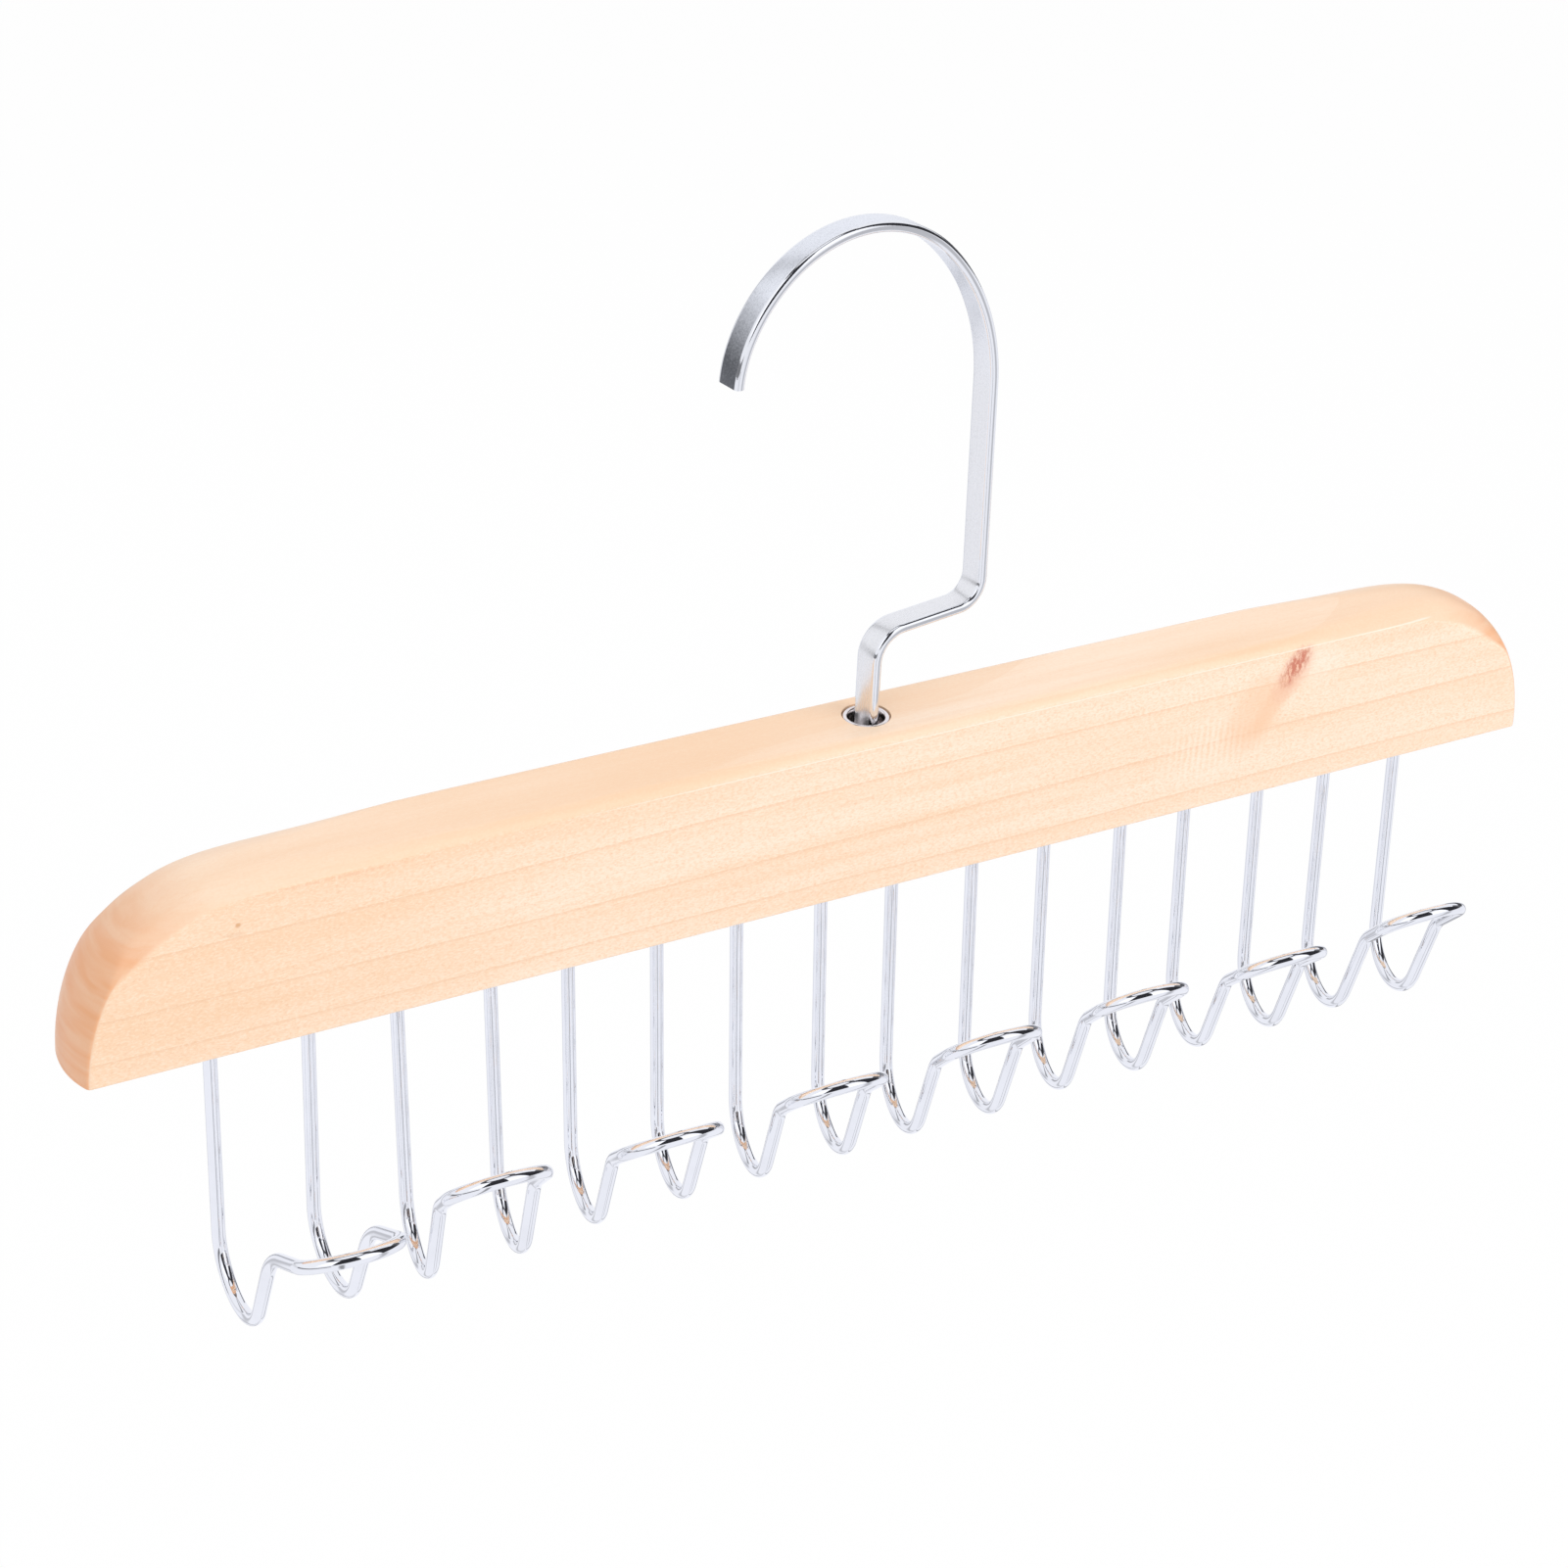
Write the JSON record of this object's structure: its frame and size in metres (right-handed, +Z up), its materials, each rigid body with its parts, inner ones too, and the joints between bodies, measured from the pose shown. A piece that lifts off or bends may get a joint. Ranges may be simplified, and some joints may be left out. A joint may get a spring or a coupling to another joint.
{
  "type": "belt hanger",
  "caption": "Rounded wood bar on a turning flat metal hook, with a row of bent wire loops below that hold belts by their buckles.",
  "frame": {"origin": "rod seat: the inner face of the hook's crook, straight above the swivel axis", "axes": "+Z up, +X along the bar to the right as seen from the front, -Y to the front, where the loops reach"},
  "size_m": [0.3046, 0.0542, 0.1814],
  "materials": {
    "wood": "clear satin lacquer",
    "hook_strip": "chromed, faces satin, edges polished",
    "ferrule_metal": "polished nickel plate",
    "washer_metal": "plain",
    "loop_wire": "polished"
  },
  "bodies": {
    "hook": {"flat_hook": "hook_strip"},
    "bar": {"wood_bar": "wood", "ferrule": "ferrule_metal", "swivel_washer": "washer_metal", "belt_loop_1": "loop_wire", "belt_loop_2": "loop_wire", "belt_loop_3": "loop_wire", "belt_loop_4": "loop_wire", "belt_loop_5": "loop_wire", "belt_loop_6": "loop_wire", "belt_loop_7": "loop_wire", "belt_loop_8": "loop_wire"}
  },
  "joints": [
    {"name": "hook_swivel", "type": "hinge", "parent": "hook", "child": "bar", "pos_m": [0, 0, -0.095], "axis": [0, 0, 1], "continuous": true}
  ]
}
